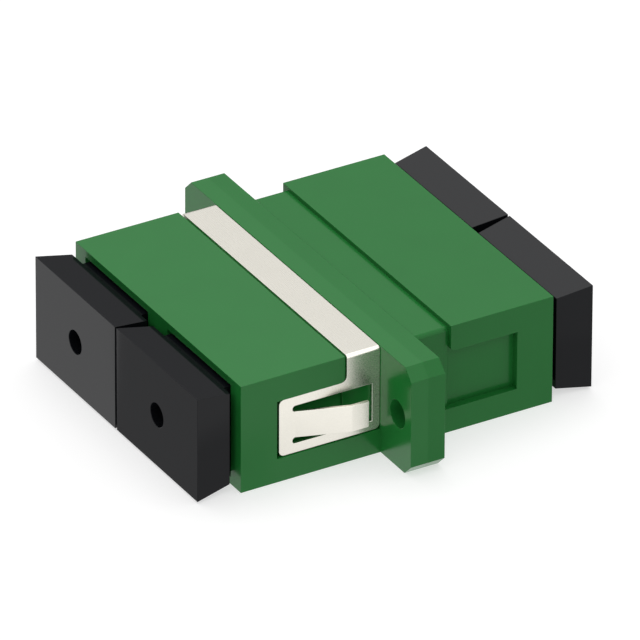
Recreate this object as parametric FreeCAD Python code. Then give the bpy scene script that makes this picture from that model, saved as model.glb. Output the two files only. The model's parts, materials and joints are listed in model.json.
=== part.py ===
import FreeCAD, Part
import os

from FreeCAD import Vector

# Duplex fibre adapter with a mounting flange, a sprung panel clip and four dust caps, in millimetres.
# X runs across the two ports, Y along the fibres and Z up. The front, with the clip, faces -Y.
# The origin lies on the underside, midway across, in the plane where the two housing halves meet.

# Ports
port_pitch = 12.7
port_width = 9.1
port_height = 7.45
port_step = 0.23            # the full port height starts this far outside the saddle
plug_bay_height = 6.9       # lower inner stretch of the port, around the barrel
mouth_flare = 0.325         # the mouth is this much wider than the port on each side
mouth_depth = 1.0
keyway_width = 2.4
keyway_length = 6.0

# Housing
housing_length = 27.6
side_wall = 1.9
roof_wall = 0.95
peg_diameter = 1.1
peg_length = 0.9
peg_spacing = 4.6
peg_gap = 0.05              # radial, and behind the peg's end

# Flange
flange_thickness = 3.0      # both halves together
flange_ear = 4.55           # how far each ear stands out from the housing's side
flange_chamfer = 0.95       # at the four corners
screw_hole_diameter = 2.3
screw_offset = 2.5          # from the housing's side to the screw hole's axis

# Saddle round the housing beside the flange, with a deeper recess in each side
saddle_length = 3.17
saddle_roof_depth = 0.35
saddle_side_depth = 0.42
recess_depth = 0.65
recess_length = 9.12
recess_height = 5.04
recess_sill = 2.06          # height of the recess's lower edge above the underside
overhang_radius = 0.37      # lower corner of the block that overhangs the recess
saddle_edge_radius = 0.4    # long top edges of the saddle

# Panel clip
clip_sheet = 0.25
clip_seat_gap = 0.05        # between the sheet and the saddle
clip_edge_gap = 0.12        # along the housing, at the clip's front edges
clip_height_gap = 0.06      # above and below the side panels
clip_flange_gap = 0.03
clip_bend_radius = 0.3      # outer radius of the bends over the saddle
clip_corner_radius = 0.45
window_height = 3.31
window_front_margin = 1.3
window_rear_margin = 0.67
tab_width = 2.27
tab_rise = 1.42             # how far the tab's crest stands out from the side panel
tab_flat = 1.5              # the tab's outer stretch, parallel to the side panel
tab_tip_gap = 1.8           # room for the panel between the tab's tip and the flange
tab_bend_radius = 0.4

# Latch holders
holder_ledge_side = 0.75    # the holder's pocket is this much wider than the port on each side
holder_ledge_roof = 0.3
holder_shoulder = 0.3       # from the pocket's end to the flange's face
holder_play = 0.05          # along Y, on both faces of the base plate
holder_edge_gap = 0.1
barrel_wall = 0.8
barrel_lip = 0.5
barrel_entry_gap = 0.2      # radial, around a ferrule in the barrel's lip
barrel_lead_in = 0.3
hook_arm_offset = 3.55      # from the port's axis to the arm's inner face
hook_arm_thickness = 0.55
hook_width = 3.0
hook_past_barrel = 0.6
hook_nose = 0.5
hook_nose_length = 1.4
hook_nose_crest = 0.6
hook_root_radius = 0.3

# Split sleeves
ferrule_diameter = 2.5
sleeve_wall = 0.35
sleeve_length = 11.4
sleeve_slit = 0.4
sleeve_gap = 0.05           # radial, in the barrels
sleeve_end_gap = 0.1

# Dust caps
cap_gap = 0.22              # between the outer faces of two neighbouring caps
cap_set_in = 0.175          # the outer face ends this far inside the housing's roof and underside
cap_flare_side = 0.375      # the outer face is this much wider than the head's back on each side
cap_flare_roof = 0.5
cap_head_depth = 3.04
cap_standoff = 0.63         # between the head's back and the end of the housing
cap_end_gap = 0.9           # between the skirt's end and the latch arms' tips
cap_collar_gap = 0.295      # between the collar at the head's back and the mouth's rim
cap_collar_reach = 0.5      # how far the collar goes into the mouth
cap_side_gap = 0.1
cap_roof_gap = 0.225
cap_wall = 1.0
cap_lead_in = 0.3
cap_hole_diameter = 2.0
cap_hole_depth = 1.6
cap_hole_floor = 1.0        # left between the hole and the hollow skirt

# Sizes that follow
housing_width = port_pitch + port_width + 2 * side_wall
housing_height = port_height + 2 * roof_wall
half_length = housing_length / 2
half_width = housing_width / 2
mid_height = housing_height / 2
flange_face = flange_thickness / 2
flange_width = housing_width + 2 * flange_ear
screw_reach = half_width + screw_offset
saddle_end = flange_face + saddle_length
recess_end = flange_face + recess_length
recess_top = recess_sill + recess_height
pocket_width = port_width + 2 * holder_ledge_side
pocket_height = port_height + 2 * holder_ledge_roof
pocket_depth = flange_face - holder_shoulder
sleeve_diameter = ferrule_diameter + 2 * sleeve_wall
barrel_bore = sleeve_diameter + 2 * sleeve_gap
barrel_diameter = barrel_bore + 2 * barrel_wall
barrel_seat = sleeve_length / 2 + sleeve_end_gap
barrel_end = barrel_seat + barrel_lip
hook_tip = barrel_end + hook_past_barrel
clip_stand = clip_seat_gap + clip_sheet
clip_rear = flange_face + clip_flange_gap
clip_front = recess_end - clip_edge_gap
clip_half_width = half_width - saddle_side_depth + clip_stand
clip_top = housing_height - saddle_roof_depth + clip_stand
panel_low = recess_sill + clip_height_gap
panel_high = recess_top - clip_height_gap
panel_middle = (panel_low + panel_high) / 2
cap_back = half_length + cap_standoff
cap_face = cap_back + cap_head_depth
port_places = {"left": -port_pitch / 2, "right": port_pitch / 2}
overshoot = 1.0             # how far a cutting shape runs past the surface that it cuts
tolerance = 1e-6


def about(centre, size):
    """Low and high end of a span about its centre."""
    return (centre - size / 2, centre + size / 2)


def block(x_span, y_span, z_span):
    """Box between the ends of three spans."""
    corner = Vector(x_span[0], y_span[0], z_span[0])
    return Part.makeBox(x_span[1] - x_span[0], y_span[1] - y_span[0], z_span[1] - z_span[0], corner)


def rod(diameter, x, y_span, z):
    """Cylinder along Y."""
    return Part.makeCylinder(diameter / 2, y_span[1] - y_span[0], Vector(x, y_span[0], z), Vector(0, 1, 0))


def prism(points, push):
    """Flat outline with straight sides, pushed along a vector."""
    return Part.Face(Part.makePolygon(points + points[:1])).extrude(push)


def rectangle(width, y, height):
    """Upright rectangle about a port's axis at X = 0."""
    x_low, x_high = about(0, width)
    z_low, z_high = about(mid_height, height)
    corners = [Vector(x_low, y, z_low), Vector(x_high, y, z_low),
               Vector(x_high, y, z_high), Vector(x_low, y, z_high)]
    return Part.makePolygon(corners + corners[:1])


def edges_through(shape, axis, **place):
    """Straight edges along an axis whose middle has the given coordinates."""
    found = []
    for edge in shape.Edges:
        run = edge.Vertexes[-1].Point - edge.Vertexes[0].Point
        straight = run.Length > 0 and abs(abs(run.dot(axis)) - run.Length) < tolerance
        middle = edge.BoundBox.Center
        if straight and all(abs(getattr(middle, key) - value) < tolerance for key, value in place.items()):
            found.append(edge)
    return found


def to_front(shape):
    """The same shape, turned to face the front."""
    return shape.mirror(Vector(0, 0, 0), Vector(0, 1, 0))


def one_solid(shape):
    """The single solid that a chain of cuts and joins has left, without needless seams."""
    return shape.removeSplitter().Solids[0]


def saddle_outline():
    """The saddle and the side recess as seen from the side, pushed across the whole width."""
    x_low = -half_width - overshoot
    roof = housing_height + overshoot
    corners = [(flange_face, recess_sill), (recess_end, recess_sill), (recess_end, recess_top),
               (saddle_end, recess_top), (saddle_end, roof), (flange_face, roof)]
    space = prism([Vector(x_low, y, z) for y, z in corners], Vector(-2 * x_low, 0, 0))
    overhang = edges_through(space, Vector(1, 0, 0), y=saddle_end, z=recess_top)
    return space.makeFillet(overhang_radius, overhang)


def saddle_core():
    """What stays inside the saddle, with rounded top edges, and the narrower core inside the recesses."""
    width = housing_width - 2 * saddle_side_depth
    top = housing_height - saddle_roof_depth
    saddle = block(about(0, width), (0, saddle_end), (-overshoot, top))
    top_edges = [edge for x in about(0, width)
                 for edge in edges_through(saddle, Vector(0, 1, 0), x=x, z=top)]
    recessed = about(0, housing_width - 2 * recess_depth)
    core = block(recessed, (0, half_length), (-overshoot, recess_top + overhang_radius))
    return saddle.makeFillet(saddle_edge_radius, top_edges).fuse(core)


def port_space():
    """The hollow of a port about X = 0: the holder's pocket, plug bay, port, flared mouth and keyway."""
    pocket = block(about(0, pocket_width), (-overshoot, pocket_depth), about(mid_height, pocket_height))
    bay_end = saddle_end + port_step
    bay = block(about(0, port_width), (0, bay_end), about(mid_height, plug_bay_height))
    port = block(about(0, port_width), (bay_end, half_length + overshoot), about(mid_height, port_height))
    throat = rectangle(port_width, half_length - mouth_depth, port_height)
    rim = rectangle(port_width + 2 * mouth_flare, half_length, port_height + 2 * mouth_flare)
    mouth = Part.makeLoft([throat, rim], True, True)
    keyway_span = (half_length - keyway_length, half_length + overshoot)
    keyway = block(about(0, keyway_width), keyway_span, (-overshoot, mid_height))
    return pocket.fuse([bay, port, mouth, keyway])


def flange_plate():
    """Half of the flange, with its corners cut off."""
    plate = block(about(0, flange_width), (0, flange_face), (0, housing_height))
    return plate.makeChamfer(flange_chamfer, edges_through(plate, Vector(0, 1, 0)))


def housing_half():
    """One half of the housing, facing the rear, with its half of the flange."""
    half = block(about(0, housing_width), (0, half_length), (0, housing_height))
    half = half.cut(saddle_outline().cut(saddle_core()))
    half = half.fuse(flange_plate())
    for x in port_places.values():
        half = half.cut(port_space().translated(Vector(x, 0, 0)))
    for x in (-screw_reach, screw_reach):
        half = half.cut(rod(screw_hole_diameter, x, (-overshoot, flange_face + overshoot), mid_height))
    return one_solid(half)


def pegs(gap):
    """Locating pegs between the ports, or with a gap the sockets that take them."""
    root = (-overshoot, peg_length + gap)
    low, high = about(mid_height, peg_spacing)
    return rod(peg_diameter + 2 * gap, 0, root, low).fuse(rod(peg_diameter + 2 * gap, 0, root, high))


def housing_front():
    """Front half: the clip fills its saddle, and its pegs go into the rear half."""
    return one_solid(to_front(housing_half()).fuse(pegs(0)))


def housing_rear():
    """Rear half: its saddle is bare, and it has sockets for the pegs."""
    return one_solid(housing_half().cut(pegs(peg_gap)))


def hook_arm():
    """Latch arm on the +X side of a barrel, with a hooked nose that faces the axis."""
    root = pocket_depth - 2 * holder_play
    inner = hook_arm_offset
    outer = hook_arm_offset + hook_arm_thickness
    heel = hook_tip - hook_nose_length
    points = [(inner, root), (inner, heel), (inner - hook_nose, heel),
              (inner - hook_nose, heel + hook_nose_crest), (inner, hook_tip),
              (outer, hook_tip), (outer, root)]
    z_low = mid_height - hook_width / 2
    return prism([Vector(x, y, z_low) for x, y in points], Vector(0, 0, hook_width))


def latch_holder():
    """Base plate, half of the barrel that holds the sleeve, and two latch arms, facing the rear."""
    base_face = pocket_depth - holder_play
    base = block(about(0, pocket_width - 2 * holder_edge_gap), (holder_play, base_face),
                 about(mid_height, pocket_height - 2 * holder_edge_gap))
    arm = hook_arm()
    holder = base.fuse([arm, arm.mirror(Vector(0, 0, 0), Vector(1, 0, 0))])
    roots = [hook_arm_offset, hook_arm_offset + hook_arm_thickness]
    root_edges = [edge for x in roots for side in (-x, x)
                  for edge in edges_through(holder, Vector(0, 0, 1), x=side, y=base_face)]
    holder = holder.makeFillet(hook_root_radius, root_edges)
    holder = holder.fuse(rod(barrel_diameter, 0, (holder_play, barrel_end), mid_height))
    holder = holder.cut(rod(barrel_bore, 0, (-overshoot, barrel_seat), mid_height))
    entry_radius = ferrule_diameter / 2 + barrel_entry_gap
    holder = holder.cut(rod(2 * entry_radius, 0, (0, barrel_end + overshoot), mid_height))
    lead_in = Part.makeCone(entry_radius, entry_radius + barrel_lead_in, barrel_lead_in,
                            Vector(0, barrel_end - barrel_lead_in, mid_height), Vector(0, 1, 0))
    return one_solid(holder.cut(lead_in))


def split_sleeve():
    """Tube that lines up two ferrules, slit along its top."""
    span = about(0, sleeve_length)
    sleeve = rod(sleeve_diameter, 0, span, mid_height).cut(rod(ferrule_diameter, 0, span, mid_height))
    slit = block(about(0, sleeve_slit), span, (mid_height, mid_height + sleeve_diameter))
    return one_solid(sleeve.cut(slit))


def bent_side(path, thickness):
    """The other side of a bent sheet: a path in X and Y, shifted to its left by the sheet's thickness."""
    shifted = []
    for index, point in enumerate(path):
        before = point - path[index - 1] if index > 0 else path[1] - point
        after = path[index + 1] - point if index < len(path) - 1 else before
        normals = [Vector(-run.y, run.x, 0).normalize() for run in (before, after)]
        shifted.append(point + (normals[0] + normals[1]) * (thickness / (1 + normals[0].dot(normals[1]))))
    return shifted


def spring_tab():
    """Latch tab of the +X side panel: it slopes outwards from its root and ends parallel to the panel."""
    slot_radius = (window_height - tab_width) / 4
    root = clip_front - window_front_margin
    tip = flange_face + tab_tip_gap
    crest_x = clip_half_width + tab_rise
    z_low = panel_middle - tab_width / 2
    outer = [Vector(clip_half_width, root + slot_radius, z_low),
             Vector(clip_half_width, root - slot_radius, z_low),
             Vector(crest_x, tip + tab_flat, z_low), Vector(crest_x, tip, z_low)]
    inner = bent_side(outer, -clip_sheet)
    tab = prism(outer + inner[::-1], Vector(0, 0, tab_width))
    crest = edges_through(tab, Vector(0, 0, 1), x=crest_x, y=tip + tab_flat)
    hollow = edges_through(tab, Vector(0, 0, 1), x=inner[2].x, y=inner[2].y)
    return tab.makeFillet(tab_bend_radius, crest + hollow)


def clip_window():
    """Opening round the tabs through both side panels, with round ends beside each tab's root."""
    x_span = about(0, housing_width + 2 * overshoot)
    slot_radius = (window_height - tab_width) / 4
    root = clip_front - window_front_margin - slot_radius
    window = block(x_span, (clip_rear + window_rear_margin, root), about(panel_middle, window_height))
    through = x_span[1] - x_span[0]
    for z in about(panel_middle, window_height - 2 * slot_radius):
        start = Vector(x_span[0], root, z)
        window = window.fuse(Part.makeCylinder(slot_radius, through, start, Vector(1, 0, 0)))
    return window


def clip_outline():
    """The clip as seen from the side, pushed across the whole width."""
    x_low = -half_width - overshoot
    strap_front = saddle_end - clip_edge_gap
    roof = housing_height + overshoot
    corners = [(clip_rear, panel_low), (clip_front, panel_low), (clip_front, panel_high),
               (strap_front, panel_high), (strap_front, roof), (clip_rear, roof)]
    outline = prism([Vector(x_low, y, z) for y, z in corners], Vector(-2 * x_low, 0, 0))
    rounded = [edge for y, z in corners[:3] for edge in edges_through(outline, Vector(1, 0, 0), y=y, z=z)]
    outline = outline.makeFillet(clip_corner_radius, rounded)
    inside = edges_through(outline, Vector(1, 0, 0), y=strap_front, z=panel_high)
    return outline.makeFillet(overhang_radius + clip_edge_gap, inside)


def bent_channel(half_span, top, radius):
    """Block as wide as the clip, rounded along its two long top edges."""
    form = block((-half_span, half_span), (clip_rear - overshoot, clip_front + overshoot), (0, top))
    edges = [edge for x in (-half_span, half_span)
             for edge in edges_through(form, Vector(0, 1, 0), x=x, z=top)]
    return form.makeFillet(radius, edges)


def panel_clip():
    """Folded sheet over the front saddle, with a side panel and a sprung tab on each side."""
    outside = bent_channel(clip_half_width, clip_top, clip_bend_radius)
    inside = bent_channel(clip_half_width - clip_sheet, clip_top - clip_sheet, clip_bend_radius - clip_sheet)
    clip = outside.cut(inside).common(clip_outline()).cut(clip_window())
    tab = spring_tab()
    clip = clip.fuse([tab, tab.mirror(Vector(0, 0, 0), Vector(1, 0, 0))])
    return one_solid(to_front(clip))


def dust_cap():
    """Hollow skirt that plugs a port, collar, and flared head with a small blind hole, facing the rear."""
    skirt_width = port_width - 2 * cap_side_gap
    skirt_height = port_height - 2 * cap_roof_gap
    skirt_end = hook_tip + cap_end_gap
    skirt = block(about(0, skirt_width), (skirt_end, cap_back), about(mid_height, skirt_height))
    nose = [edge for edge in skirt.Edges if abs(edge.BoundBox.YMax - skirt_end) < tolerance]
    skirt = skirt.makeChamfer(cap_lead_in, nose)
    collar_margin = 2 * (mouth_flare - cap_collar_gap)
    collar = block(about(0, port_width + collar_margin), (half_length - cap_collar_reach, cap_back),
                   about(mid_height, port_height + collar_margin))
    face_width = port_pitch - cap_gap
    face_height = housing_height - 2 * cap_set_in
    back = rectangle(face_width - 2 * cap_flare_side, cap_back, face_height - 2 * cap_flare_roof)
    face = rectangle(face_width, cap_face, face_height)
    cap = Part.makeLoft([back, face], True, True).fuse([collar, skirt])
    hole_end = cap_face - cap_hole_depth
    cap = cap.cut(rod(cap_hole_diameter, 0, (hole_end, cap_face + overshoot), mid_height))
    hollow = block(about(0, skirt_width - 2 * cap_wall), (skirt_end - overshoot, hole_end - cap_hole_floor),
                   about(mid_height, skirt_height - 2 * cap_wall))
    return one_solid(cap.cut(hollow))


def all_nodes():
    """Every piece by its node name, in place."""
    nodes = {"housing_front": housing_front(), "housing_rear": housing_rear(), "panel_clip": panel_clip()}
    for side, x in port_places.items():
        place = Vector(x, 0, 0)
        nodes[f"split_sleeve_{side}"] = split_sleeve().translated(place)
        nodes[f"latch_holder_front_{side}"] = to_front(latch_holder()).translated(place)
        nodes[f"latch_holder_rear_{side}"] = latch_holder().translated(place)
        nodes[f"dust_cap_front_{side}"] = to_front(dust_cap()).translated(place)
        nodes[f"dust_cap_rear_{side}"] = dust_cap().translated(place)
    return nodes


os.makedirs("parts", exist_ok=True)
for name, shape in all_nodes().items():
    shape.exportStep(f"parts/{name}.step")
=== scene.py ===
"""Looks of a duplex fibre adapter: moulded halves, panel clip, dust caps, inner parts and a stage."""

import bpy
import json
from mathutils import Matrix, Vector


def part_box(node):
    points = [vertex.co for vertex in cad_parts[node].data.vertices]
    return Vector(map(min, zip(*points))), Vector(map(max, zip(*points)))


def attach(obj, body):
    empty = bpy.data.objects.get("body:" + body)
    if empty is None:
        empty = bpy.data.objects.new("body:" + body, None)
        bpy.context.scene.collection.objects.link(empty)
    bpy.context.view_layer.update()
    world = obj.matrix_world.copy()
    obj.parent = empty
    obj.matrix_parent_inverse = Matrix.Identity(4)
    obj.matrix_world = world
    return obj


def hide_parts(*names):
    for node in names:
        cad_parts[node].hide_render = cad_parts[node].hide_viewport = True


bl_info = {
    "name": "Duplex fibre adapter",
    "version": (1, 0, 0),
    "blender": (4, 5, 0),
    "location": "3D View > Sidebar > Adapter",
    "description": "Finishes the housing halves, panel clip, dust caps and inner parts of a fibre adapter",
    "category": "Object",
}

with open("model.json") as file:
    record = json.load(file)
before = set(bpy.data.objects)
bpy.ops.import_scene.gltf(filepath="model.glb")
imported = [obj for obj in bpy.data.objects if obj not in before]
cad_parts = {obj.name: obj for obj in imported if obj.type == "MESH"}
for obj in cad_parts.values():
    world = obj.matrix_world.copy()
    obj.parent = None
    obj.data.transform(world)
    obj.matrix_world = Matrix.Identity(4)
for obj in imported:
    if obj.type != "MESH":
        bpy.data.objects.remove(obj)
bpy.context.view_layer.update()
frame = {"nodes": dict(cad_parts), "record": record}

import json
import math

import bmesh
import bpy
from bpy.props import FloatProperty, FloatVectorProperty, IntProperty, PointerProperty
from mathutils import Quaternion, Vector

MM = 0.001
WELD_DISTANCE = 0.001 * MM    # corners nearer than this are one corner
FLAT_ANGLE = math.radians(0.6)    # faces that meet at less than this are one flat face
SHARP_ANGLE = math.radians(30)    # edges that turn by more than this are worked as edges
JOINT_PLANE = 0.002 * MM    # edges this near to the plane between the halves stay crisp
NODE_COLUMN = 260    # spacing of the nodes in the node editor
NODE_ROW = 240
WHITE = (1.0, 1.0, 1.0, 1.0)

DRIFT_LENGTH = 3.5 * MM    # patches of slightly different colour in the plastic
GLOSS_LENGTH = 0.9 * MM    # patches of slightly different gloss
GRAIN_LENGTH = 0.16 * MM    # the mould's fine grain
GRAIN_DEPTH = 0.0006 * MM
GRAIN_STRENGTH = 0.5
GLOSS_SPREAD = (0.8, 1.25)    # least and most roughness, as shares of the set one
CLOUD_LENGTH = 2.2 * MM    # patches of slightly different colour in the steel
STREAK_STRETCH = (0.02, 1.0, 1.0)    # the rolling streaks run along the adapter's width
STREAK_DEPTH = 0.0001 * MM
STREAK_STRENGTH = 0.4
STREAK_SPREAD = (0.7, 1.3)
STEEL_TINTS = (0.97, 1.03)
RING_LENGTH = 0.05 * MM    # grinding rings on the ceramic
RING_STRETCH = (0.05, 1.0, 0.05)
CERAMIC_TINTS = (0.97, 1.02)
CERAMIC_ROUGHNESS = (0.12, 0.24)

BEVEL_STEPS = 2    # faces across a rounded edge
ROOTED = 0.2    # share of a cap's head that its collar and skirt reach into, so that they join it
OVERRUN = 2.0    # cutters reach this many times as far as they have to, to run clear of the surface

FLOOR_HEIGHT = -0.01 * MM    # just under the adapter, so that the two faces don't fight
# Painted shade: a grey card that only reflections see, in place of the shaded floor in front of the front
# caps.
CARD_HEIGHT = 0.02 * MM
CARD_CORNERS = ((-0.05, -17.5), (-18.5, -28), (-2, -28), (16, -17.5))    # in millimetres
FLOOR_TOTAL = 1.1    # the floor's own light and the grey that takes light and shadow add up to this
# How bright reflections see the floor, with painted light away from the adapter's side and painted shade
# beside its rear half and its front caps: from one place to another, and the level at each.
FLOOR_ASIDE = (19.5 * MM, 21.5 * MM, 1.02, 1.14)    # along X
FLOOR_BEHIND = (-2.0 * MM, 1.5 * MM, 1.0, 0.88)    # along Y, beside the rear half
FLOOR_AHEAD = (-19.5 * MM, -17.9 * MM, 0.80, 1.0)    # along Y where X is 0, beside the front caps
AHEAD_SLANT = 0.584    # how far that last change lies further back for each step to the right
AHEAD_STARTS = (5.0 * MM, 11.0 * MM)    # along X, where it comes in
AHEAD_ENDS = (18.0 * MM, 20.5 * MM)    # along X, where it goes again
# Parts of the sky, each from one place on a unit sphere to another.
SKY_ACROSS = (-0.7, 0.7)    # X, from the left light to the right one
SKY_SIDE = (0.1, 0.4)    # X, from no panel to the full one
SKY_CROWN = (0.22, 0.34)    # Z less Y, from no crown to the full one

CLIP_START = 0.01    # nearest and farthest that the camera sees, in metres
CLIP_END = 20

ENDS = {"front": -1, "rear": 1}
SIDES = ("left", "right")
MOUNTS = {mount["name"]: mount for mount in frame["record"]["mounts"]}


def length(name, description, millimetres):
    """A length to set in the sidebar, given here in millimetres."""
    return FloatProperty(name=name, description=description, default=millimetres * MM,
                         min=0, precision=6, subtype="DISTANCE")


def share(name, description, value):
    """A number from 0 to 1 to set in the sidebar."""
    return FloatProperty(name=name, description=description, default=value, min=0, max=1, subtype="FACTOR")


def colour(name, description, value):
    """A colour to set in the sidebar, in linear red, green and blue."""
    return FloatVectorProperty(name=name, description=description, default=value,
                               size=3, min=0, max=1, subtype="COLOR")


def angle(name, description, degrees):
    """An angle to set in the sidebar, given here in degrees."""
    return FloatProperty(name=name, description=description, default=math.radians(degrees), subtype="ANGLE")


def strength(name, description, value):
    """The strength of a light to set in the sidebar."""
    return FloatProperty(name=name, description=description, default=value, min=0)


class HousingSettings(bpy.types.PropertyGroup):
    """Finish of the two moulded halves."""

    colour: colour("Green", "Colour of the moulded plastic", (0.0158, 0.190, 0.034))
    edge: length("Edge radius", "Rounding of the moulding's outer edges", 0.03)
    roughness: share("Roughness", "Roughness of the satin surface", 0.20)
    mottle: share("Mottle", "How much the colour varies over a few millimetres", 0.05)
    gloss: share("Gloss", "Strength of the plastic's reflections", 0.245)
    # Painted shade: the rear half gets a darker copy of the same green and weaker reflections, which stand
    # in for the darker shading of its top.
    rear_painted_shade: share("Rear shade", "How light the rear half's colour is next to the front half's", 0.94)
    rear_gloss: share("Rear gloss", "Strength of the rear half's reflections", 0.200)


class ClipSettings(bpy.types.PropertyGroup):
    """Finish of the sprung panel clip."""

    colour: colour("Steel", "Colour of the polished stainless sheet", (0.80, 0.775, 0.70))
    edge: length("Edge radius", "Rounding that stamping leaves on the sheet's edges", 0.02)
    roughness: share("Roughness", "Roughness of the polished sheet", 0.28)
    streak: length("Streak width", "Width of the fine rolling streaks", 0.03)
    set_back: length("Set back", "How much further the front edges stand from the blocks beside them", 0.12)
    corner: length("Corner zone", "How far the side panels' rounded corners reach", 0.5)


class CapSettings(bpy.types.PropertyGroup):
    """Sizes and finish of the dust caps. The rest of their form follows the ports."""

    colour: colour("Black", "Colour of the soft black plastic", (0.0064, 0.0070, 0.0090))
    roughness: share("Roughness", "Roughness of the caps' smooth surface", 0.08)
    mottle: share("Mottle", "How much the colour varies over a few millimetres", 0.08)
    gloss: share("Gloss", "Strength of the caps' reflections", 0.17)
    edge: length("Edge radius", "Rounding of the caps' edges", 0.03)
    head_depth: length("Head depth", "From the head's back to its outer face", 3.04)
    flare_side: length("Side flare", "How far the outer face stands out at each side", 0.375)
    flare_roof: length("Top flare", "The same above and below", 0.5)
    collar_width: length("Collar width", "Width of the collar between the head and the port's mouth", 9.16)
    collar_height: length("Collar height", "Height of that collar", 7.51)
    collar_length: length("Collar length", "How far the collar reaches from the head's back", 1.13)
    skirt_width: length("Skirt width", "Width of the skirt that goes into the port", 8.9)
    skirt_height: length("Skirt height", "Height of the skirt that goes into the port", 7.0)
    wall: length("Skirt wall", "Thickness of the skirt's wall", 1.0)
    lead_in: length("Lead-in", "Bevel round the skirt's end", 0.3)
    hole: length("Hole diameter", "Diameter of the blind hole in the outer face", 2.0)
    hole_depth: length("Hole depth", "Depth of the blind hole", 1.6)
    hole_floor: length("Hole floor", "What is left between the hole and the hollow skirt", 1.0)
    hole_sides: IntProperty(name="Hole sides", description="Facets round the blind hole",
                            default=48, min=12)


class InnerSettings(bpy.types.PropertyGroup):
    """Finish of the latch holders and split sleeves."""

    holder_colour: colour("Holder", "Colour of the holders' natural plastic", (0.70, 0.66, 0.56))
    holder_roughness: share("Holder roughness", "Roughness of the holders' surface", 0.32)
    holder_mottle: share("Holder mottle", "How much the holders' colour varies", 0.03)
    holder_gloss: share("Holder gloss", "Strength of the holders' reflections", 0.4)
    sleeve_colour: colour("Sleeve", "Colour of the sleeves' ground ceramic", (0.80, 0.79, 0.75))
    edge: length("Edge radius", "Rounding of the inner parts' edges", 0.03)


class StageSettings(bpy.types.PropertyGroup):
    """Camera, light and floor."""

    azimuth: angle("Azimuth", "Camera's direction round the adapter, from the front", 59.706)
    elevation: angle("Elevation", "Camera's height above the horizon", 30.084)
    roll: angle("Roll", "Camera's turn about its own axis", 0.241)
    distance: length("Distance", "From the camera to the point that it looks at", 1034.93)
    lens: FloatProperty(name="Lens", description="Focal length in millimetres", default=756.234)
    aim: FloatVectorProperty(name="Aim", description="Point that the camera looks at", size=3,
                             default=(0.0002018, 0.0004619, 0.0047764),
                             subtype="TRANSLATION", unit="LENGTH")
    floor_size: length("Floor size", "Side of the square floor", 6000)
    floor_white: share("Floor white", "Share of the floor's light that takes no shadow", 0.60)
    floor_bounce: share("Floor bounce", "Strength of the even light that the floor throws back up", 0.78)
    # Painted shade that only reflections see, dimming the right front cap's face.
    shade_card_level: share("Card", "Brightness of the card that the right front cap mirrors", 0.425)
    sky_left: strength("Sky, left", "Strength of the soft light from the left", 1.32)
    sky_right: strength("Sky, right", "Strength of the soft light from the right", 0.8)
    sky_panel: strength("Sky, panel", "Strength of the panel on the right that reflections see", 1.5)
    sky_crown: strength("Sky, crown", "How much stronger reflections see the sky high in front", 1.22)
    sky_dark: angle("Sky, dark below", "Height above the horizon at which the light starts", 12)
    sky_full: angle("Sky, full above", "Height above the horizon from which the light is full", 44)
    sky_rim: share("Sky, rim", "Share of the light that is left near the horizon", 0.08)
    key: strength("Key light", "Strength of the soft light from above", 0.4)
    key_azimuth: angle("Key azimuth", "The key light's direction round the adapter, from the front", -110)
    key_elevation: angle("Key elevation", "The key light's height above the horizon", 72)
    key_width: angle("Key width", "How wide the key light looks, which softens its shadows", 30)


class AdapterSettings(bpy.types.PropertyGroup):
    """All the adapter's sizes and colours."""

    housing: PointerProperty(type=HousingSettings)
    clip: PointerProperty(type=ClipSettings)
    caps: PointerProperty(type=CapSettings)
    inner: PointerProperty(type=InnerSettings)
    stage: PointerProperty(type=StageSettings)


def feed(tree, socket, value):
    """Links another node's socket to this one, or sets its value."""
    if isinstance(value, bpy.types.NodeSocket):
        tree.links.new(value, socket)
    else:
        socket.default_value = value


def add(tree, kind, inputs, output=0, **settings):
    """Adds a node, sets and feeds its inputs, and returns one of its outputs."""
    node = tree.nodes.new(kind)
    for name, value in settings.items():
        setattr(node, name, value)
    for key, value in inputs.items():
        feed(tree, node.inputs[key], value)
    return node.outputs[output] if node.outputs else node


def calculate(tree, operation, *values):
    """A Math node on up to three values."""
    return add(tree, "ShaderNodeMath", dict(enumerate(values)), operation=operation)


def ramp(tree, value, start, end, low, high, **settings):
    """Goes from low to high while the value goes from start to end, and is level beyond them."""
    inputs = {"Value": value, "From Min": start, "From Max": end, "To Min": low, "To Max": high}
    return add(tree, "ShaderNodeMapRange", inputs, **settings)


def mix_number(tree, factor, low, high):
    """From low at 0 to high at 1. The Mix node takes numbers in its sockets 2 and 3."""
    return add(tree, "ShaderNodeMix", {0: factor, 2: low, 3: high}, data_type="FLOAT")


def mix_colour(tree, factor, low, high):
    """From the low colour at 0 to the high one at 1. Colours have sockets 6 and 7, and output 2."""
    return add(tree, "ShaderNodeMix", {0: factor, 6: low, 7: high}, 2, data_type="RGBA")


def split_vector(tree, vector):
    """The outputs X, Y and Z of a vector."""
    node = tree.nodes.new("ShaderNodeSeparateXYZ")
    tree.links.new(vector, node.inputs[0])
    return node.outputs


def arrange(tree):
    """Puts each node in the column that its links give it, with the output on the right."""
    depth = {}

    def visit(node, level):
        if level <= depth.get(node, -1):
            return
        depth[node] = level
        for socket in node.inputs:
            for link in socket.links:
                visit(link.from_node, level + 1)

    for node in tree.nodes:
        if not any(socket.links for socket in node.outputs):
            visit(node, 0)
    rows = {}
    for node, level in depth.items():
        node.location = (-NODE_COLUMN * level, -NODE_ROW * rows.get(level, 0))
        rows[level] = rows.get(level, 0) + 1


def empty_tree(owner):
    """The node tree of a material or world, emptied."""
    owner.use_nodes = True
    owner.node_tree.nodes.clear()
    return owner.node_tree


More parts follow.
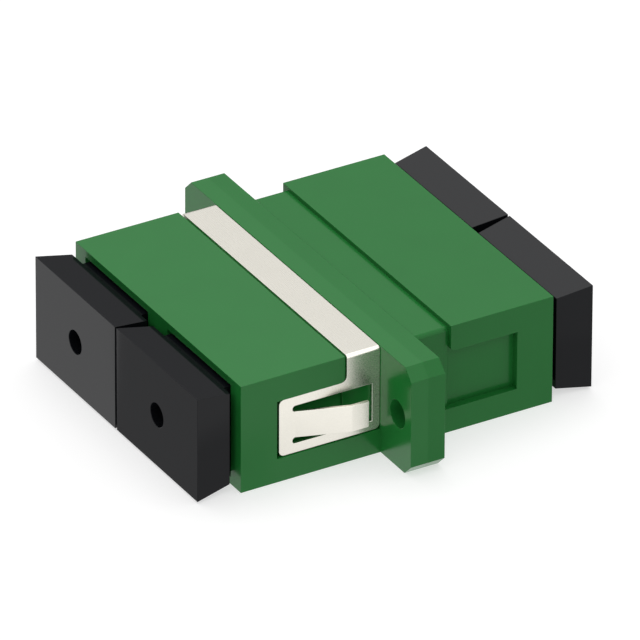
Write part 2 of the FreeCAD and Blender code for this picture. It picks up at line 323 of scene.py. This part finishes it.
def new_material(name):
    """A material with its Principled shader and the object's own coordinates."""
    material = bpy.data.materials.new(name)
    tree = empty_tree(material)
    shader = tree.nodes.new("ShaderNodeBsdfPrincipled")
    output = tree.nodes.new("ShaderNodeOutputMaterial")
    tree.links.new(shader.outputs["BSDF"], output.inputs["Surface"])
    place = add(tree, "ShaderNodeTexCoord", {}, "Object")
    return material, tree, shader, place


def noise(tree, place, feature, detail):
    """Noise whose features are about this long."""
    return add(tree, "ShaderNodeTexNoise", {"Vector": place, "Scale": 1 / feature, "Detail": detail})


def stretched(tree, place, scale):
    """Coordinates scaled along each axis."""
    return add(tree, "ShaderNodeMapping", {"Vector": place, "Scale": scale})


def tinted(base, factor):
    """A colour made lighter or darker, with full opacity."""
    return (*(min(1.0, part * factor) for part in base), 1.0)


def moulded_plastic(name, base, roughness, mottle, level):
    """Satin moulded plastic: slight colour drift, uneven gloss and a fine grain."""
    material, tree, shader, place = new_material(name)
    drift = noise(tree, place, DRIFT_LENGTH, detail=3.0)
    grain = noise(tree, place, GRAIN_LENGTH, detail=3.0)
    gloss = noise(tree, place, GLOSS_LENGTH, detail=4.0)
    feed(tree, shader.inputs["Base Color"],
         mix_colour(tree, drift, tinted(base, 1 - mottle), tinted(base, 1 + mottle)))
    least, most = GLOSS_SPREAD
    feed(tree, shader.inputs["Roughness"], mix_number(tree, gloss, roughness * least, roughness * most))
    bump = add(tree, "ShaderNodeBump", {
        "Strength": GRAIN_STRENGTH, "Distance": GRAIN_DEPTH, "Height": grain})
    feed(tree, shader.inputs["Normal"], bump)
    shader.inputs["Specular IOR Level"].default_value = level
    arrange(tree)
    return material


def polished_steel(name, settings):
    """Polished stainless sheet with fine rolling streaks along the adapter's width."""
    material, tree, shader, place = new_material(name)
    streaks = noise(tree, stretched(tree, place, STREAK_STRETCH), settings.streak, detail=2.0)
    cloud = noise(tree, place, CLOUD_LENGTH, detail=3.0)
    darker, lighter = (tinted(settings.colour, factor) for factor in STEEL_TINTS)
    feed(tree, shader.inputs["Base Color"], mix_colour(tree, cloud, darker, lighter))
    least, most = (settings.roughness * factor for factor in STREAK_SPREAD)
    feed(tree, shader.inputs["Roughness"], mix_number(tree, streaks, least, most))
    bump = add(tree, "ShaderNodeBump", {
        "Strength": STREAK_STRENGTH, "Distance": STREAK_DEPTH, "Height": streaks})
    feed(tree, shader.inputs["Normal"], bump)
    shader.inputs["Metallic"].default_value = 1.0
    arrange(tree)
    return material


def ground_ceramic(name, base):
    """Ground zirconia: white, dense and smooth, with faint grinding rings round its axis."""
    material, tree, shader, place = new_material(name)
    rings = noise(tree, stretched(tree, place, RING_STRETCH), RING_LENGTH, detail=2.0)
    darker, lighter = (tinted(base, factor) for factor in CERAMIC_TINTS)
    feed(tree, shader.inputs["Base Color"], mix_colour(tree, rings, darker, lighter))
    feed(tree, shader.inputs["Roughness"], mix_number(tree, rings, *CERAMIC_ROUGHNESS))
    arrange(tree)
    return material


def dress(piece, material, body):
    """Gives a piece its material and body."""
    piece.data.materials.clear()
    piece.data.materials.append(material)
    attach(piece, body)


def finish_edges(piece, radius):
    """Rounds the edges that are marked for it, and keeps the wide faces flat to the light."""
    bevel = piece.modifiers.new("Rounded edges", "BEVEL")
    bevel.limit_method = "WEIGHT"
    bevel.width = radius
    bevel.segments = BEVEL_STEPS
    bevel.use_clamp_overlap = False
    normals = piece.modifiers.new("Flat faces", "WEIGHTED_NORMAL")
    normals.keep_sharp = True


def mark_edges(form, stays_crisp):
    """Smooths all faces, and marks each sharp outer edge for rounding unless it stays crisp."""
    weight = form.edges.layers.float.new("bevel_weight_edge")
    for face in form.faces:
        face.smooth = True
    for edge in form.edges:
        if edge.calc_face_angle(0) > SHARP_ANGLE:
            edge.smooth = False
            edge[weight] = 1 if edge.is_convex and not stays_crisp(edge) else 0


def never(edge):
    """For pieces whose edges are all rounded."""
    return False


def at_joint(edge):
    """True for edges in the plane where the two halves meet."""
    return all(abs(corner.co.y) < JOINT_PLANE for corner in edge.verts)


def new_piece(name, mesh, node_name, stays_crisp):
    """A piece that replaces a CAD node, with its triangles merged into whole faces and its edges marked."""
    form = bmesh.new()
    form.from_mesh(mesh)
    bmesh.ops.remove_doubles(form, verts=form.verts, dist=WELD_DISTANCE)
    bmesh.ops.dissolve_limit(form, angle_limit=FLAT_ANGLE, verts=form.verts, edges=form.edges)
    mark_edges(form, stays_crisp)
    form.to_mesh(mesh)
    form.free()
    piece = bpy.data.objects.new(name, mesh)
    bpy.context.scene.collection.objects.link(piece)
    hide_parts(node_name)
    return piece


def piece_from_node(name, node_name, stays_crisp=never):
    """A piece in a CAD node's form."""
    source = frame["nodes"][node_name].data
    corners = [corner.co for corner in source.vertices]
    faces = [list(face.vertices) for face in source.polygons]
    mesh = bpy.data.meshes.new(name)
    mesh.from_pydata(corners, [], faces)
    return new_piece(name, mesh, node_name, stays_crisp)


class ADAPTER_OT_housing(bpy.types.Operator):
    """Finish the two moulded halves of the housing"""

    bl_idname = "adapter.housing"
    bl_label = "Housing halves"

    def execute(self, context):
        settings = context.scene.adapter.housing
        # The rear half's darker copy of the green is painted shade.
        shade_and_gloss = {"front": (1.0, settings.gloss), "rear": (settings.rear_painted_shade, settings.rear_gloss)}
        for end, (shade, gloss) in shade_and_gloss.items():
            green = tinted(settings.colour, shade)[:3]
            material = moulded_plastic(f"green_moulding_{end}", green,
                                       settings.roughness, settings.mottle, gloss)
            piece = piece_from_node(f"moulded_half_{end}", f"housing_{end}", at_joint)
            finish_edges(piece, settings.edge)
            dress(piece, material, "adapter")
        return {"FINISHED"}


def set_back_front_edges(mesh, distance, corner):
    """Moves the front edges of the clip's strap and side panels away from the blocks beside them."""
    lowest = min(point.co.y for point in mesh.vertices)
    panel_front = [point for point in mesh.vertices if point.co.y < lowest + corner]
    panel_top = max(point.co.z for point in panel_front) - WELD_DISTANCE
    strap = [point for point in mesh.vertices if point.co.z > panel_top + corner]
    strap_front = min(point.co.y for point in strap)
    strap_edge = [point for point in mesh.vertices
                  if point.co.z > panel_top and abs(point.co.y - strap_front) < corner]
    for point in panel_front + strap_edge:
        point.co.y += distance


class ADAPTER_OT_clip(bpy.types.Operator):
    """Finish the folded steel clip"""

    bl_idname = "adapter.clip"
    bl_label = "Panel clip"

    def execute(self, context):
        settings = context.scene.adapter.clip
        piece = piece_from_node("spring_clip", "panel_clip")
        set_back_front_edges(piece.data, settings.set_back, settings.corner)
        finish_edges(piece, settings.edge)
        dress(piece, polished_steel("polished_sheet", settings), "adapter")
        return {"FINISHED"}


class ADAPTER_OT_inner_parts(bpy.types.Operator):
    """Finish the latch holders and the split sleeves inside the ports"""

    bl_idname = "adapter.inner_parts"
    bl_label = "Holders and sleeves"

    def execute(self, context):
        settings = context.scene.adapter.inner
        natural = moulded_plastic("natural_moulding", settings.holder_colour, settings.holder_roughness,
                                  settings.holder_mottle, settings.holder_gloss)
        ceramic = ground_ceramic("ground_ceramic", settings.sleeve_colour)
        for side in SIDES:
            for end in ENDS:
                holder = piece_from_node(f"plug_holder_{end}_{side}", f"latch_holder_{end}_{side}")
                finish_edges(holder, settings.edge)
                dress(holder, natural, "adapter")
            sleeve = piece_from_node(f"sleeve_{side}", f"split_sleeve_{side}")
            finish_edges(sleeve, settings.edge)
            dress(sleeve, ceramic, "adapter")
        return {"FINISHED"}


def new_group(name, inputs):
    """A Geometry Nodes group with named length inputs, and the sockets that they give inside."""
    tree = bpy.data.node_groups.new(name, "GeometryNodeTree")
    tree.interface.new_socket("Geometry", in_out="OUTPUT", socket_type="NodeSocketGeometry")
    for label in inputs:
        socket = tree.interface.new_socket(label, in_out="INPUT", socket_type="NodeSocketFloat")
        socket.subtype = "DISTANCE"
    return tree, tree.nodes.new("NodeGroupInput")


def put_out(tree, geometry):
    """Links the group's result, and lays its nodes out."""
    output = tree.nodes.new("NodeGroupOutput")
    tree.links.new(geometry, output.inputs[0])
    arrange(tree)


BLOCK_SIZES = ("Start", "End", "Start width", "Start height", "End width", "End height")
CAP_SIZES = ("Head depth", "Face width", "Face height", "Side flare", "Top flare", "Collar width",
             "Collar height", "Collar length", "Skirt width", "Skirt height", "Skirt length", "Lead-in",
             "Wall", "Hole diameter", "Hole depth", "Hole floor")


def tapered_block_group():
    """A block along Y that changes evenly from one width and height to another."""
    tree, sizes = new_group("Tapered block", BLOCK_SIZES)
    size = sizes.outputs
    cube = add(tree, "GeometryNodeMeshCube", {"Size": (1.0, 1.0, 1.0)}, "Mesh")
    corner = split_vector(tree, add(tree, "GeometryNodeInputPosition", {}))
    along = calculate(tree, "ADD", corner["Y"], 0.5)
    width = mix_number(tree, along, size["Start width"], size["End width"])
    height = mix_number(tree, along, size["Start height"], size["End height"])
    place = add(tree, "ShaderNodeCombineXYZ", {
        "X": calculate(tree, "MULTIPLY", corner["X"], width),
        "Y": mix_number(tree, along, size["Start"], size["End"]),
        "Z": calculate(tree, "MULTIPLY", corner["Z"], height)})
    put_out(tree, add(tree, "GeometryNodeSetPosition", {"Geometry": cube, "Position": place}))
    return tree


def tapered_block(tree, group, *sizes):
    """One block from the shared group: its ends along Y, then each end's width and height."""
    node = tree.nodes.new("GeometryNodeGroup")
    node.node_tree = group
    for socket, value in zip(node.inputs, sizes):
        feed(tree, socket, value)
    return node.outputs[0]


def joined(tree, operation, shapes, cut_from=None):
    """Joins the shapes, or cuts them out of one."""
    node = tree.nodes.new("GeometryNodeMeshBoolean")
    node.operation = operation
    node.solver = "EXACT"
    if cut_from is not None:
        tree.links.new(cut_from, node.inputs["Mesh 1"])
    for shape in shapes:
        tree.links.new(shape, node.inputs["Mesh 2"])
    return node.outputs["Mesh"]


def dust_cap_group(material, hole_sides):
    """A cap about its port's axis, with the head's back at Y = 0 and its face towards +Y."""
    tree, sizes = new_group("Dust cap", CAP_SIZES)
    size = sizes.outputs
    block = tapered_block_group()

    def less(whole, part):
        """The whole without the part at both sides."""
        return calculate(tree, "MULTIPLY_ADD", part, -2.0, whole)

    nose = calculate(tree, "MULTIPLY", size["Skirt length"], -1.0)
    shoulder = calculate(tree, "ADD", nose, size["Lead-in"])
    inside = calculate(tree, "MULTIPLY", size["Head depth"], ROOTED)
    back = (less(size["Face width"], size["Side flare"]), less(size["Face height"], size["Top flare"]))
    face = (size["Face width"], size["Face height"])
    collar = (size["Collar width"], size["Collar height"])
    collar_end = calculate(tree, "MULTIPLY", size["Collar length"], -1.0)
    skirt = (size["Skirt width"], size["Skirt height"])
    tip = (less(skirt[0], size["Lead-in"]), less(skirt[1], size["Lead-in"]))
    hollow = (less(skirt[0], size["Wall"]), less(skirt[1], size["Wall"]))
    hole_end = calculate(tree, "SUBTRACT", size["Head depth"], size["Hole depth"])
    solid = joined(tree, "UNION", (
        tapered_block(tree, block, 0.0, size["Head depth"], *back, *face),
        tapered_block(tree, block, collar_end, inside, *collar, *collar),
        tapered_block(tree, block, shoulder, inside, *skirt, *skirt),
        tapered_block(tree, block, nose, shoulder, *tip, *skirt)))
    drill = add(tree, "GeometryNodeMeshCylinder", {
        "Vertices": hole_sides,
        "Radius": calculate(tree, "MULTIPLY", size["Hole diameter"], 0.5),
        "Depth": calculate(tree, "MULTIPLY", size["Hole depth"], OVERRUN)}, "Mesh")
    drill = add(tree, "GeometryNodeTransform", {
        "Geometry": drill, "Rotation": (math.pi / 2, 0.0, 0.0),
        "Translation": add(tree, "ShaderNodeCombineXYZ", {"Y": size["Head depth"]})})
    far = calculate(tree, "MULTIPLY", nose, OVERRUN)
    hollow_end = calculate(tree, "SUBTRACT", hole_end, size["Hole floor"])
    hollow_block = tapered_block(tree, block, far, hollow_end, *hollow, *hollow)
    cap = joined(tree, "DIFFERENCE", (drill, hollow_block), solid)
    cap = add(tree, "GeometryNodeRealizeInstances", {"Geometry": cap})
    put_out(tree, add(tree, "GeometryNodeSetMaterial", {"Geometry": cap, "Material": material}))
    return tree


def cap_sizes(settings, node_name):
    """One cap's inputs and the place of its head's back, from its settings and its box in the frame."""
    low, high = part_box(node_name)
    outer = max(abs(low.y), abs(high.y))
    inner = min(abs(low.y), abs(high.y))
    back = outer - settings.head_depth
    return dict(zip(CAP_SIZES, (
        settings.head_depth, high.x - low.x, high.z - low.z, settings.flare_side, settings.flare_roof,
        settings.collar_width, settings.collar_height, settings.collar_length,
        settings.skirt_width, settings.skirt_height, back - inner, settings.lead_in, settings.wall,
        settings.hole, settings.hole_depth, settings.hole_floor))), back


def make_cap(context, group, end, side):
    """One cap as a plain mesh in its place, turned half round at the front."""
    name = f"cap_{end}_{side}"
    node_name = f"dust_cap_{end}_{side}"
    settings = context.scene.adapter.caps
    port = Vector(MOUNTS[f"plug_port_{end}_{side}"]["pos_m"])
    sizes, back = cap_sizes(settings, node_name)
    blank = bpy.data.objects.new(name + "_nodes", bpy.data.meshes.new(name + "_nodes"))
    context.scene.collection.objects.link(blank)
    modifier = blank.modifiers.new("Dust cap", "NODES")
    modifier.node_group = group
    for item in group.interface.items_tree:
        if item.in_out == "INPUT":
            modifier[item.identifier] = sizes[item.name]
    mesh = bpy.data.meshes.new_from_object(blank.evaluated_get(context.evaluated_depsgraph_get()))
    bpy.data.objects.remove(blank)
    turn = Quaternion((0, 0, 1), math.pi if ENDS[end] < 0 else 0).to_matrix().to_4x4()
    turn.translation = (port.x, ENDS[end] * back, port.z)
    mesh.transform(turn)
    mesh.name = name
    return new_piece(name, mesh, node_name, never)


class ADAPTER_OT_dust_caps(bpy.types.Operator):
    """Make the four dust caps"""

    bl_idname = "adapter.dust_caps"
    bl_label = "Dust caps"

    def execute(self, context):
        settings = context.scene.adapter.caps
        material = moulded_plastic("black_moulding", settings.colour, settings.roughness,
                                   settings.mottle, settings.gloss)
        group = dust_cap_group(material, settings.hole_sides)
        for end in ENDS:
            for side in SIDES:
                cap = make_cap(context, group, end, side)
                finish_edges(cap, settings.edge)
                dress(cap, material, f"cap_{end}_{side}")
        return {"FINISHED"}


def floor_in_reflections(tree):
    """How bright reflections see the floor at each place: painted light and painted shade that light
    nothing.
    """
    place = split_vector(tree, add(tree, "ShaderNodeTexCoord", {}, "Object"))
    aside = ramp(tree, place["X"], *FLOOR_ASIDE)
    behind = ramp(tree, place["Y"], *FLOOR_BEHIND)
    slanted = calculate(tree, "MULTIPLY_ADD", place["X"], -AHEAD_SLANT, place["Y"])
    ahead = ramp(tree, slanted, *FLOOR_AHEAD)
    ahead = ramp(tree, place["X"], *AHEAD_ENDS, ahead, 1.0)
    ahead = ramp(tree, place["X"], *AHEAD_STARTS, 1.0, ahead)
    return calculate(tree, "MULTIPLY", calculate(tree, "MULTIPLY", aside, behind), ahead)


def floor_material(white, bounce):
    """Pale floor that keeps a soft shadow for the camera, and throws an even light back on the pieces.

    In reflections it has painted light a little away from the adapter's side, and painted shade beside its
    rear half and beside its front caps.
    """
    material = bpy.data.materials.new("pale_floor")
    tree = empty_tree(material)
    path = tree.nodes.new("ShaderNodeLightPath").outputs
    glossy = calculate(tree, "MAXIMUM", path["Is Glossy Ray"], path["Is Transmission Ray"])
    level = mix_number(tree, glossy, bounce, floor_in_reflections(tree))
    thrown = add(tree, "ShaderNodeEmission", {"Strength": level})
    seen = tree.nodes.new("ShaderNodeAddShader")
    grey = FLOOR_TOTAL - white
    feed(tree, seen.inputs[0], add(tree, "ShaderNodeBsdfDiffuse", {"Color": (grey, grey, grey, 1.0)}))
    feed(tree, seen.inputs[1], add(tree, "ShaderNodeEmission", {"Strength": white}))
    surface = add(tree, "ShaderNodeMixShader", {0: path["Is Camera Ray"], 1: thrown, 2: seen.outputs[0]})
    add(tree, "ShaderNodeOutputMaterial", {"Surface": surface})
    arrange(tree)
    return material


def flat_sheet(context, name, corners, height, material):
    """A level sheet of the stage, with its corners in metres."""
    mesh = bpy.data.meshes.new(name)
    mesh.from_pydata([(x, y, height) for x, y in corners], [], [tuple(range(len(corners)))])
    mesh.materials.append(material)
    sheet = bpy.data.objects.new(name, mesh)
    context.scene.collection.objects.link(sheet)
    return sheet


def make_floor(context, settings):
    """A plain square floor under the adapter."""
    half = settings.floor_size / 2
    corners = ((-half, -half), (half, -half), (half, half), (-half, half))
    material = floor_material(settings.floor_white, settings.floor_bounce)
    flat_sheet(context, "floor", corners, FLOOR_HEIGHT, material)


def make_shade_card(context, settings):
    """Painted shade: a grey card on the floor that only reflections see, and that the right front cap's
    face mirrors, in place of the shaded floor in front of the caps.
    """
    material = bpy.data.materials.new("painted_shade_card")
    tree = empty_tree(material)
    grey = add(tree, "ShaderNodeEmission", {"Color": WHITE, "Strength": settings.shade_card_level})
    add(tree, "ShaderNodeOutputMaterial", {"Surface": grey})
    arrange(tree)
    corners = [(x * MM, y * MM) for x, y in CARD_CORNERS]
    card = flat_sheet(context, "card", corners, CARD_HEIGHT, material)
    card.visible_camera = False
    card.visible_diffuse = False
    card.visible_shadow = False


def make_sky(context, settings):
    """A soft dome, dark near the horizon and brighter on the left, and plain white behind everything.

    Reflections see an even panel of light on the right, which shows in rounded edges and chamfers.
    They also see the sky brighter high up in front, which shows in the rear caps' tops.
    """
    world = bpy.data.worlds.new("studio")
    tree = empty_tree(world)
    direction = split_vector(tree, add(tree, "ShaderNodeTexCoord", {}, "Generated"))
    path = tree.nodes.new("ShaderNodeLightPath").outputs
    across = ramp(tree, direction["X"], *SKY_ACROSS, settings.sky_left, settings.sky_right)
    height = ramp(tree, direction["Z"], math.sin(settings.sky_dark), math.sin(settings.sky_full),
                  settings.sky_rim, 1.0, interpolation_type="SMOOTHSTEP")
    leaning = calculate(tree, "SUBTRACT", direction["Z"], direction["Y"])
    brighter = mix_number(tree, path["Is Glossy Ray"], 1.0, settings.sky_crown)
    crown = ramp(tree, leaning, *SKY_CROWN, 1.0, brighter)
    soft = calculate(tree, "MULTIPLY", calculate(tree, "MULTIPLY", across, height), crown)
    side = ramp(tree, direction["X"], *SKY_SIDE, 0.0, path["Is Glossy Ray"])
    level = mix_number(tree, side, soft, settings.sky_panel)
    dome = add(tree, "ShaderNodeBackground", {"Color": WHITE, "Strength": level})
    white = add(tree, "ShaderNodeBackground", {"Color": WHITE, "Strength": 1.0})
    surface = add(tree, "ShaderNodeMixShader", {0: path["Is Camera Ray"], 1: dome, 2: white})
    add(tree, "ShaderNodeOutputWorld", {"Surface": surface})
    arrange(tree)
    context.scene.world = world


def make_key_light(context, settings):
    """A far soft light. Its azimuth is 0 at the front and 90 degrees on the right."""
    data = bpy.data.lights.new("key", "SUN")
    data.energy = settings.key
    data.angle = settings.key_width
    light = bpy.data.objects.new("key", data)
    light.rotation_euler = (math.pi / 2 - settings.key_elevation, 0, settings.key_azimuth)
    context.scene.collection.objects.link(light)


def make_camera(context, settings):
    """The camera at the photograph's angle."""
    data = bpy.data.cameras.new("camera")
    data.lens = settings.lens
    data.clip_start = CLIP_START
    data.clip_end = CLIP_END
    level = math.cos(settings.elevation)
    back = Vector((math.sin(settings.azimuth) * level, -math.cos(settings.azimuth) * level,
                   math.sin(settings.elevation)))
    camera = bpy.data.objects.new("camera", data)
    camera.rotation_mode = "QUATERNION"
    camera.location = Vector(settings.aim) + back * settings.distance
    camera.rotation_quaternion = (-back).to_track_quat("-Z", "Y") @ Quaternion((0, 0, 1), settings.roll)
    context.scene.collection.objects.link(camera)
    context.scene.camera = camera


class ADAPTER_OT_stage(bpy.types.Operator):
    """Set the floor, light and camera"""

    bl_idname = "adapter.stage"
    bl_label = "Stage"

    def execute(self, context):
        settings = context.scene.adapter.stage
        make_camera(context, settings)
        make_floor(context, settings)
        make_shade_card(context, settings)
        make_sky(context, settings)
        make_key_light(context, settings)
        context.scene.view_settings.view_transform = "Standard"
        return {"FINISHED"}


STEPS = (ADAPTER_OT_housing, ADAPTER_OT_clip, ADAPTER_OT_inner_parts, ADAPTER_OT_dust_caps,
         ADAPTER_OT_stage)
SETTINGS = (HousingSettings, ClipSettings, CapSettings, InnerSettings, StageSettings, AdapterSettings)


class ADAPTER_PT_sidebar(bpy.types.Panel):
    """The adapter's pieces and settings"""

    bl_idname = "ADAPTER_PT_sidebar"
    bl_label = "Fibre adapter"
    bl_space_type = "VIEW_3D"
    bl_region_type = "UI"
    bl_category = "Adapter"

    def draw(self, context):
        groups = ("housing", "clip", "inner", "caps", "stage")
        for step, group_name in zip(STEPS, groups):
            box = self.layout.box()
            group = getattr(context.scene.adapter, group_name)
            for key in group.__annotations__:
                box.prop(group, key)
            box.operator(step.bl_idname)


def register():
    for item in (*SETTINGS, *STEPS, ADAPTER_PT_sidebar):
        bpy.utils.register_class(item)
    bpy.types.Scene.adapter = PointerProperty(type=AdapterSettings)


def unregister():
    del bpy.types.Scene.adapter
    for item in reversed((*SETTINGS, *STEPS, ADAPTER_PT_sidebar)):
        bpy.utils.unregister_class(item)


def main():
    """Makes everything in order."""
    register()
    for step in STEPS:
        group, name = step.bl_idname.split(".")
        getattr(getattr(bpy.ops, group), name)()


if __name__ == "__main__":
    main()
